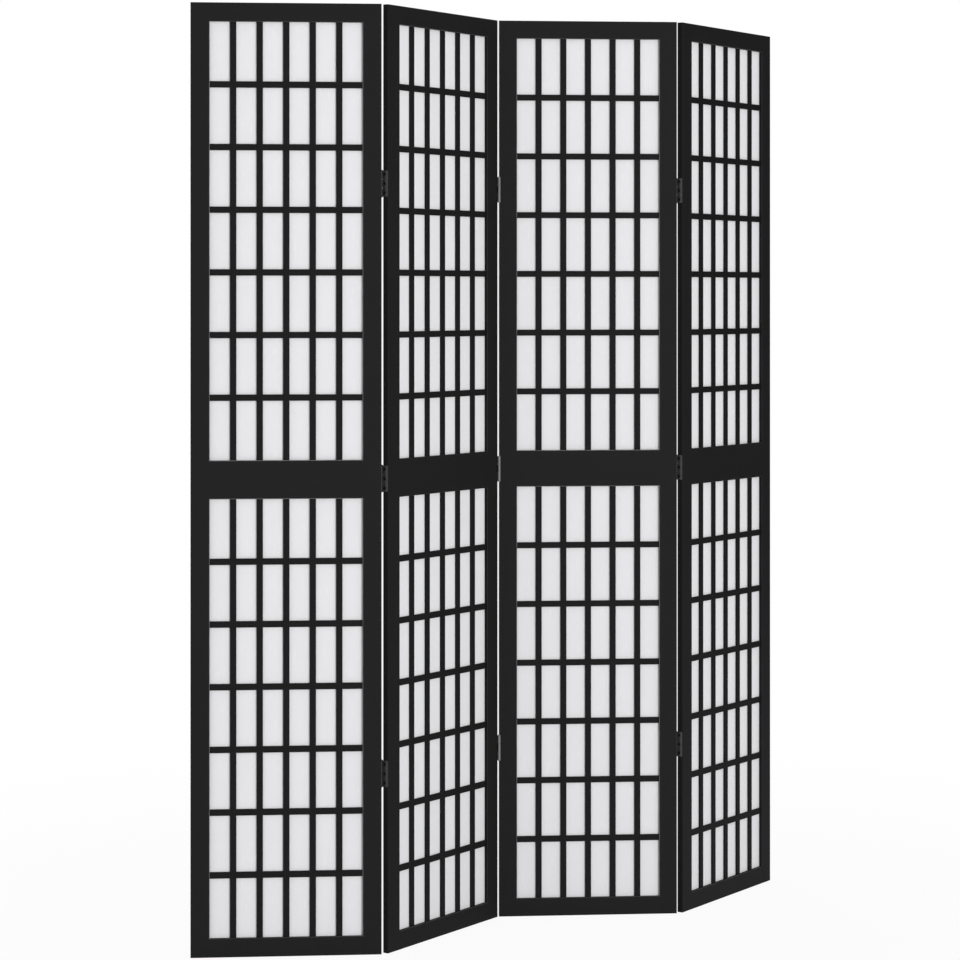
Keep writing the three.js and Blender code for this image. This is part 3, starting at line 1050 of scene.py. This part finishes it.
def build_hinges():
    steel = hinge_steel()
    blackened = screw_steel()
    outer, middle = range(0, KNUCKLE_COUNT, 2), range(1, KNUCKLE_COUNT, 2)
    pin_leaf = join("pin_leaf", [hinge_leaf("pin_leaf", -1, outer, middle), hinge_pin()])
    leaves = {"pin_leaf": pin_leaf, "plain_leaf": hinge_leaf("plain_leaf", 1, middle, outer)}
    screw_sets = {"pin_leaf": screws("pin_leaf_screws", -1), "plain_leaf": screws("screws", 1)}
    for model in leaves.values():
        mark_steel(model)
        paint(model, steel)
    for model in screw_sets.values():
        paint(model, blackened)
    for fold in range(1, PANEL_COUNT):
        for panel_is_left in (True, False):
            leaf = "plain_leaf" if panel_is_left == pin_in_front(fold) else "pin_leaf"
            for level, height in HINGE_HEIGHTS.items():
                node = f"fold_{fold}_{level}_hinge_{leaf}"
                place = leaf_place(fold, panel_is_left, height)
                hinge_part = placed_copy(leaves[leaf], f"{node}_steel", place)
                stand_for(hinge_part, "hinge_steel", node)
                screw_set = placed_copy(screw_sets[leaf], f"{node}_screws", place)
                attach(screw_set, frame["nodes"][node]["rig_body"])
    for model in list(leaves.values()) + list(screw_sets.values()):
        bpy.data.objects.remove(model)


# Camera, light and floor

CAMERA_PLACE = (-2.6124, -4.4838, 1.2462)
CAMERA_HEADING = math.radians(-29.435)
CAMERA_FOCUS = 2614.60  # focal length, in pixels of the 960 pixel wide picture
PICTURE_WIDTH = 960  # and height
HORIZON = 296.23  # pixels from the picture's top
SENSOR = 36.0
VIEW_END = 200  # how far the camera sees
ROOM_LEVEL = 0.55
LAMP_AIM = (0, 0, PANEL_HEIGHT / 2)
LAMPS = {  # place, size and power
    "front_lamp": ((-1.1, -8.0, 1.25), 2.4, 287),
    "back_lamp": ((1.5, 7.0, 1.8), 3.0, 180),
}
CARD_PLACE = (3.2, -1.3, 1.8)
CARD_SIZE = (3.6, 6.4, 0)
CARD_TONE = 0.02
FLOOR_SIZE = 80
FLOOR_WHITE = 0.9
FLOOR_GLOW = 0.93  # share of plain white in the floor near the screen
FLOOR_GLOW_REACH = (0.6, 2.4)  # metres from the screen over which the glow becomes full
SHOWN_RAYS = ("Is Camera Ray", "Is Glossy Ray", "Is Transmission Ray")


def add_camera():
    data = bpy.data.cameras.new("camera")
    data.sensor_width = SENSOR
    data.lens = SENSOR * CAMERA_FOCUS / PICTURE_WIDTH
    data.shift_y = (HORIZON - PICTURE_WIDTH / 2) / PICTURE_WIDTH
    data.clip_end = VIEW_END
    camera = bpy.data.objects.new("camera", data)
    camera.location = CAMERA_PLACE
    camera.rotation_euler = (math.pi / 2, 0, CAMERA_HEADING)
    bpy.context.scene.collection.objects.link(camera)
    bpy.context.scene.camera = camera


def seen(recipe):
    """1 on the rays that show the background: those to the camera, and in gloss and glass."""
    shown = [recipe.node("ShaderNodeLightPath", give=ray) for ray in SHOWN_RAYS]
    return recipe.maths("MINIMUM", shown[0] + shown[1] + shown[2], 1.0)


def floor_finish():
    """A pale floor that shows the screen's shadow and turns plain white away from it."""
    recipe = material("floor")
    place = recipe.object_place()
    length = {"operation": "LENGTH"}
    distance = recipe.node("ShaderNodeVectorMath", length, {0: place}, give="Value")
    away = recipe.ramp(distance, *FLOOR_GLOW_REACH)
    glow = seen(recipe) * (FLOOR_GLOW + (1 - FLOOR_GLOW) * away)
    pale = recipe.node("ShaderNodeBsdfDiffuse", sockets={"Color": grey(FLOOR_WHITE)})
    white = recipe.node("ShaderNodeEmission", sockets={"Strength": 1.0})
    mixed = recipe.node("ShaderNodeMixShader", sockets={0: glow, 1: pale, 2: white})
    return recipe.finish(mixed)


def add_floor():
    deselect()
    bpy.ops.mesh.primitive_plane_add(size=FLOOR_SIZE, location=(0, 0, 0))
    floor = settle("floor")
    paint(floor, floor_finish())


def add_world():
    world = bpy.data.worlds.new("studio")
    recipe = Recipe(world, "ShaderNodeOutputWorld")
    room = recipe.node("ShaderNodeBackground", sockets={"Color": grey(ROOM_LEVEL)})
    white = recipe.node("ShaderNodeBackground", sockets={"Color": grey(1)})
    sockets = {0: seen(recipe), 1: room, 2: white}
    bpy.context.scene.world = recipe.finish(recipe.node("ShaderNodeMixShader", sockets=sockets))


def add_lamp(name, place, size, power):
    data = bpy.data.lights.new(name, "AREA")
    data.shape = "SQUARE"
    data.size = size
    data.energy = power
    lamp = bpy.data.objects.new(name, data)
    lamp.location = place
    lamp.visible_camera = False
    way = Vector(LAMP_AIM) - Vector(place)
    lamp.rotation_euler = way.to_track_quat("-Z", "Y").to_euler()
    bpy.context.scene.collection.objects.link(lamp)


def add_dark_card():
    """A dark card beside the screen, seen only in the gloss of its paint and steel."""
    deselect()
    upright = (0, -math.pi / 2, 0)
    bpy.ops.mesh.primitive_plane_add(size=1, location=CARD_PLACE, rotation=upright)
    bpy.context.object.dimensions = CARD_SIZE
    card = settle("dark_card")
    recipe = material("dark_card")
    dark = recipe.node("ShaderNodeBsdfDiffuse", sockets={"Color": grey(CARD_TONE)})
    paint(card, recipe.finish(dark))
    for ray in ("camera", "diffuse", "transmission", "shadow"):
        setattr(card, f"visible_{ray}", False)


add_camera()
build_panels()
build_hinges()
add_floor()
add_world()
for lamp_name, settings in LAMPS.items():
    add_lamp(lamp_name, *settings)
add_dark_card()
bpy.context.scene.view_settings.view_transform = "Standard"
